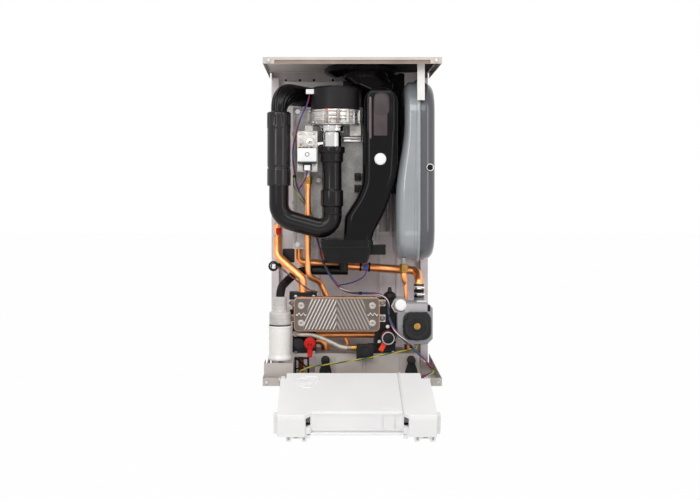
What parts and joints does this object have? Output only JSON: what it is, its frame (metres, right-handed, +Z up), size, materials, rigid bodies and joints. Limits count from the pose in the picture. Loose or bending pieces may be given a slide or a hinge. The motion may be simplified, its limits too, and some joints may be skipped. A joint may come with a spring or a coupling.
{
  "type": "combi boiler",
  "caption": "Wall-hung combi boiler with its casing off: fan, flue duct, heat cell, expansion vessel, pump, plate exchanger and hinged-down control box.",
  "frame": {"origin": "on the wall plane, midway between the two hanging holes in the back panel", "axes": "+Z up, +X to the right seen from the room, -Y out of the wall into the room"},
  "size_m": [0.44, 0.5157, 0.9147],
  "materials": {
    "white_steel": "white powder coat",
    "grey_steel": "grey coated sheet steel",
    "zinc": "zinc-plated steel",
    "cast_alloy": "as-cast aluminium",
    "cell_alloy": "speckled cast aluminium",
    "black_plastic": "black moulded plastic",
    "dark_plastic": "charcoal moulded plastic",
    "white_plastic": "white moulded plastic",
    "box_white": "soft white plastic",
    "milky_plastic": "translucent white plastic",
    "red_plastic": "red plastic",
    "copper": "bright copper",
    "brass": "turned brass",
    "steel": "stainless steel",
    "vessel_grey": "grey satin paint",
    "rubber": "black rubber",
    "composite": "glass-filled black plastic",
    "braid": "woven steel over rubber",
    "pump_grey": "grey cast housing",
    "wire": "coloured insulated wires",
    "board": "green circuit board",
    "window": "smoked clear window",
    "knob_grey": "grey plastic"
  },
  "bodies": {
    "frame": {"back_panel": "grey_steel", "top_plate": "white_steel", "bottom_tray": "grey_steel", "mounting_brackets": "zinc", "frame_screws": "zinc", "heat_cell_casing": "cell_alloy", "heat_cell_door": "cell_alloy", "heat_exchanger_coil": "steel", "burner": "steel", "fan_cover": "dark_plastic", "fan_casting": "cast_alloy", "venturi_neck": "cast_alloy", "mixing_pipe": "black_plastic", "u_pipe": "black_plastic", "silencer": "dark_plastic", "intake_elbow": "black_plastic", "flue_socket": "white_plastic", "flue_collector": "black_plastic", "flue_duct": "black_plastic", "condensate_sump": "black_plastic", "gas_valve_body": "cast_alloy", "gas_valve_actuator": "white_plastic", "gas_pipe": "copper", "vessel_shell_left": "vessel_grey", "vessel_shell_right": "vessel_grey", "vessel_diaphragm": "rubber", "flow_pipe": "copper", "return_pipe": "copper", "vessel_pipe": "copper", "connection_pipes": "copper", "brass_fittings": "brass", "pipe_sensors": "red_plastic", "drain_hose": "rubber", "siphon_body": "white_plastic", "plate_exchanger": "steel", "exchanger_front_plate": "steel", "hydraulic_block_left": "composite", "hydraulic_block_right": "composite", "filling_hose": "braid", "pump_body": "pump_grey", "pump_motor_cover": "composite", "wiring_loom": "wire", "hinge_loop": "wire"},
    "fan_rotor": {"fan_impeller": "cast_alloy"},
    "pump_wheel": {"pump_rotor": "steel"},
    "test_cap": {"flue_test_cap": "white_plastic"},
    "cup": {"siphon_cup": "milky_plastic"},
    "fill_handle": {"filling_lever": "red_plastic"},
    "relief_handle": {"relief_lever": "red_plastic"},
    "flow_handle": {"flow_tap": "composite"},
    "return_handle": {"return_tap": "composite"},
    "vent_cap": {"pump_vent_cap": "white_plastic"},
    "control_box": {"control_housing": "box_white", "control_lid": "box_white", "circuit_board": "board", "display_window": "window"},
    "knob_left": {"temperature_knob_left": "knob_grey"},
    "knob_right": {"temperature_knob_right": "knob_grey"},
    "button_mode": {"mode_button": "knob_grey"},
    "button_reset": {"reset_button": "knob_grey"}
  },
  "joints": [
    {"name": "control_box_hinge", "type": "hinge", "parent": "frame", "child": "control_box", "pos_m": [0, -0.305, -0.742], "axis": [-1, 0, 0], "range_deg": [0, 107], "deforming": ["hinge_loop"]},
    {"name": "fan_spin", "type": "hinge", "parent": "frame", "child": "fan_rotor", "pos_m": [-0.042, -0.22, -0.09], "axis": [0, 0, 1], "continuous": true},
    {"name": "pump_spin", "type": "hinge", "parent": "frame", "child": "pump_wheel", "pos_m": [0.1625, -0.2, -0.619], "axis": [0, -1, 0], "continuous": true},
    {"name": "test_cap_pull", "type": "slide", "parent": "frame", "child": "test_cap", "axis": [0, -1, 0], "range_m": [0, 0.014]},
    {"name": "siphon_cup_drop", "type": "slide", "parent": "frame", "child": "cup", "axis": [0, 0, -1], "range_m": [0, 0.03]},
    {"name": "filling_lever_turn", "type": "hinge", "parent": "frame", "child": "fill_handle", "pos_m": [-0.105, -0.256, -0.661], "axis": [0, -1, 0], "range_deg": [0, 90]},
    {"name": "relief_lever_turn", "type": "hinge", "parent": "frame", "child": "relief_handle", "pos_m": [0.091, -0.242, -0.6485], "axis": [0, -1, 0], "range_deg": [0, 60]},
    {"name": "flow_tap_turn", "type": "hinge", "parent": "frame", "child": "flow_handle", "pos_m": [-0.066, -0.24, -0.706], "axis": [0, -1, 0], "range_deg": [0, 90]},
    {"name": "return_tap_turn", "type": "hinge", "parent": "frame", "child": "return_handle", "pos_m": [0.15, -0.24, -0.706], "axis": [0, -1, 0], "range_deg": [0, 90]},
    {"name": "vent_cap_turn", "type": "hinge", "parent": "frame", "child": "vent_cap", "pos_m": [0.123, -0.24, -0.5665], "axis": [0, -1, 0], "range_deg": [0, 360]},
    {"name": "left_knob_turn", "type": "hinge", "parent": "control_box", "child": "knob_left", "pos_m": [-0.09, -0.40142, -0.80285], "axis": [0, 0.2924, -0.9563], "range_deg": [0, 270]},
    {"name": "right_knob_turn", "type": "hinge", "parent": "control_box", "child": "knob_right", "pos_m": [0.1, -0.40142, -0.80285], "axis": [0, 0.2924, -0.9563], "range_deg": [0, 270]},
    {"name": "mode_button_press", "type": "slide", "parent": "control_box", "child": "button_mode", "axis": [0, -0.2924, 0.9563], "range_m": [0, 0.0015], "stiffness_N_per_m": 400, "springref_m": -0.001},
    {"name": "reset_button_press", "type": "slide", "parent": "control_box", "child": "button_reset", "axis": [0, -0.2924, 0.9563], "range_m": [0, 0.0015], "stiffness_N_per_m": 400, "springref_m": -0.001}
  ]
}
